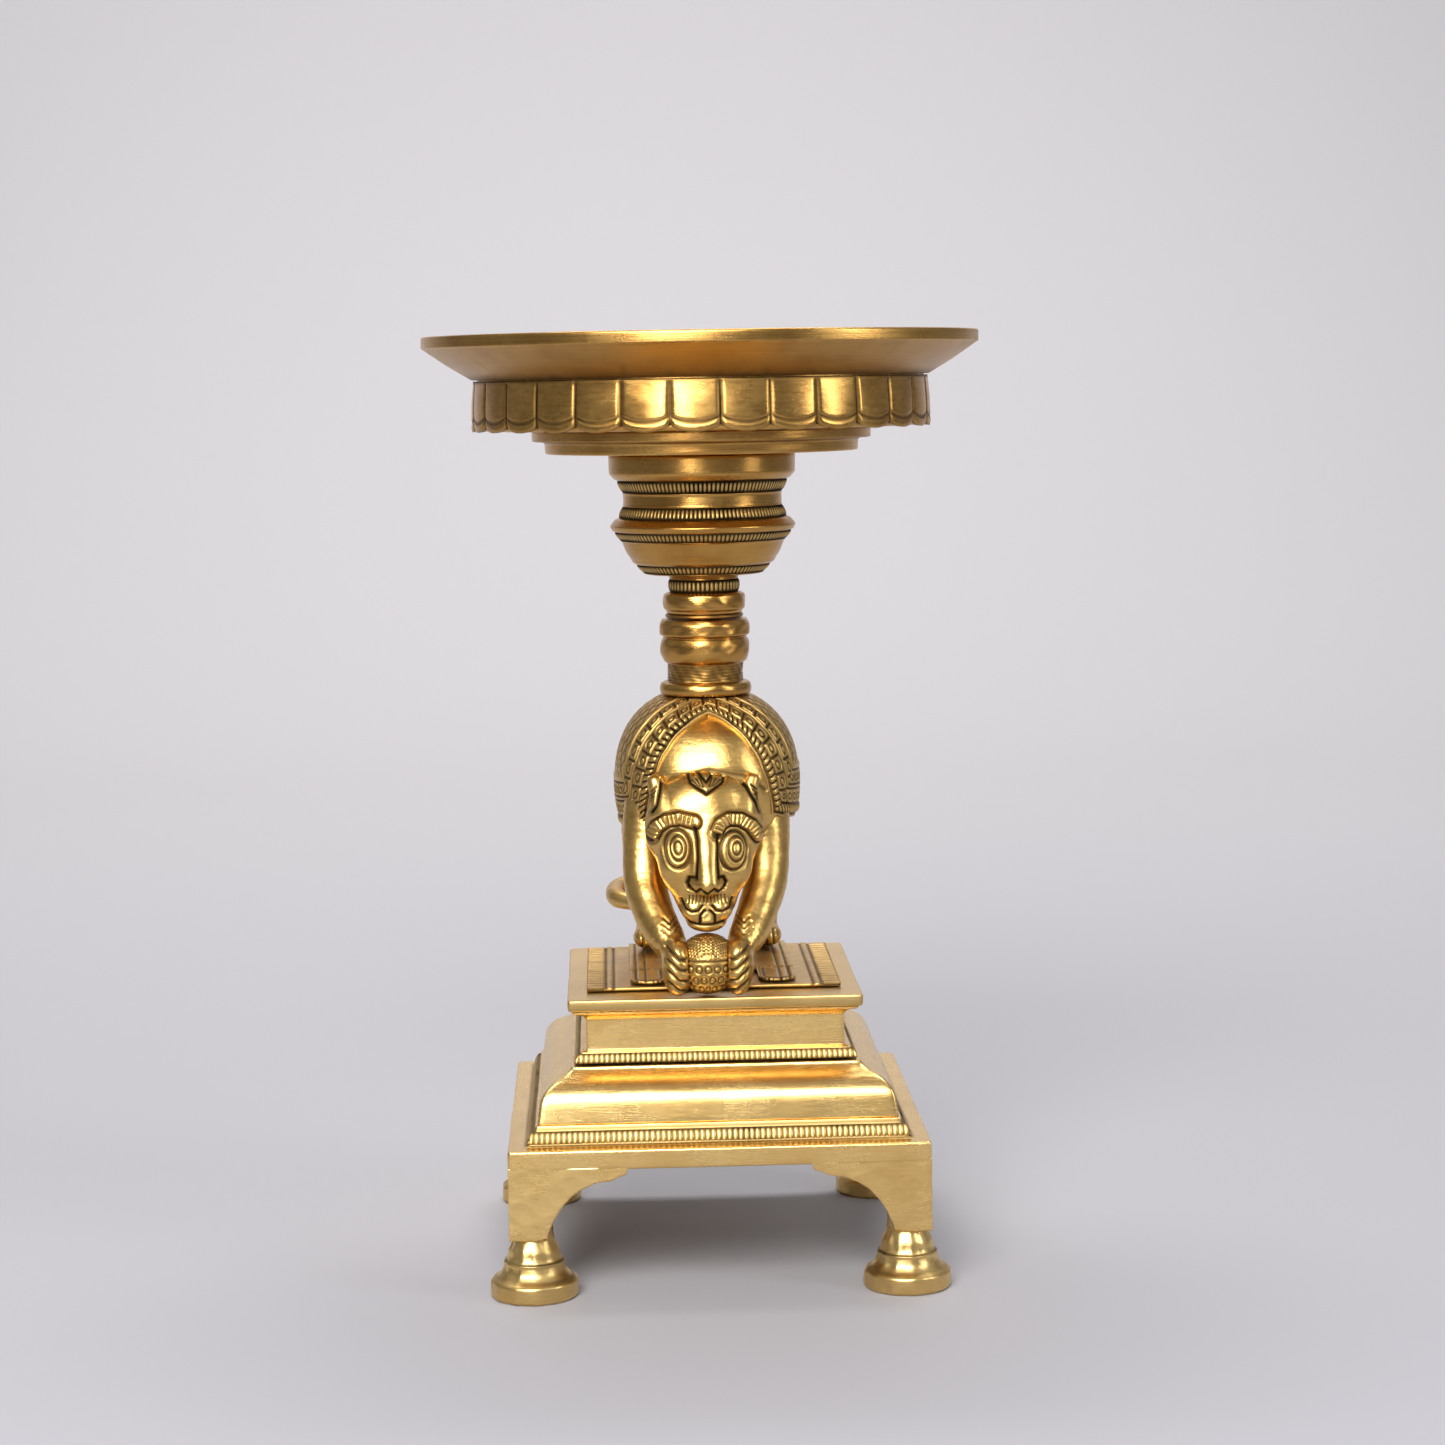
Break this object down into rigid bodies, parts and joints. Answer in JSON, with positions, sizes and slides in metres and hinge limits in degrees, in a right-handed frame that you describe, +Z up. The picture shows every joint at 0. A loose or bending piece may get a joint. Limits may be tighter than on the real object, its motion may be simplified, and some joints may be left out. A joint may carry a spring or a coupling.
{
  "type": "pedestal candle stand",
  "caption": "Brass pedestal stand: a shallow dish with a petal skirt on a turned column, carried on an animal's back above a stepped square plinth with feet.",
  "frame": {"origin": "on the floor, on the axis of the column", "axes": "+Z up along the column; the animal faces -Y; +X is to the right of a person who looks at its face"},
  "size_m": [0.132, 0.132, 0.2202],
  "materials": {
    "dish_brass": "polished, with fine brushed lines and dark engraved grooves",
    "column_brass": "turned and polished, dark in the beaded rings",
    "animal_brass": "cast, hand filed and polished on the high parts, dark in the chasing",
    "chased_brass": "chased pattern, polished ridges and dark grooves",
    "bead_brass": "beaded strip, dark between the beads",
    "plinth_brass": "polished, with filing lines along each moulding",
    "screw_steel": "plain turned steel"
  },
  "bodies": {
    "base": {"animal_head": "animal_brass", "animal_torso": "animal_brass", "ball": "animal_brass", "base_slab": "plinth_brass", "foot_back_left": "plinth_brass", "foot_back_right": "plinth_brass", "foot_front_left": "plinth_brass", "foot_front_right": "plinth_brass", "foreleg_left": "animal_brass", "foreleg_right": "animal_brass", "hind_leg_left": "animal_brass", "hind_leg_right": "animal_brass", "hind_screw_left": "screw_steel", "hind_screw_right": "screw_steel", "leg_back_left": "plinth_brass", "leg_back_right": "plinth_brass", "leg_front_left": "plinth_brass", "leg_front_right": "plinth_brass", "lower_bead_strip": "bead_brass", "platform_plate": "plinth_brass", "plinth_fascia": "plinth_brass", "plinth_ogee": "plinth_brass", "rug": "chased_brass", "saddle_cloth": "chased_brass", "stem_lower": "column_brass", "tail": "animal_brass", "upper_bead_strip": "bead_brass", "upper_cloth": "chased_brass"},
    "packing": {"packing_ring": "bead_brass"},
    "upper": {"dish_bowl": "dish_brass", "dish_petal_skirt": "dish_brass", "dish_foot": "dish_brass", "dish_screw": "dish_brass", "vase": "column_brass", "stem_upper": "column_brass", "dish_rim": "dish_brass"}
  },
  "joints": [
    {"name": "packing_lift", "type": "slide", "parent": "base", "child": "packing", "axis": [0, 0, 1], "range_m": [0, 0.009]},
    {"name": "screw_turn", "type": "hinge", "parent": "packing", "child": "upper", "pos_m": [0, 0, 0.1525], "axis": [0, 0, 1], "range_deg": [0, 2160]}
  ],
  "couplings": [
    {"joint": "packing_lift", "follows": "screw_turn", "m_per_rad": 0.00023873}
  ]
}
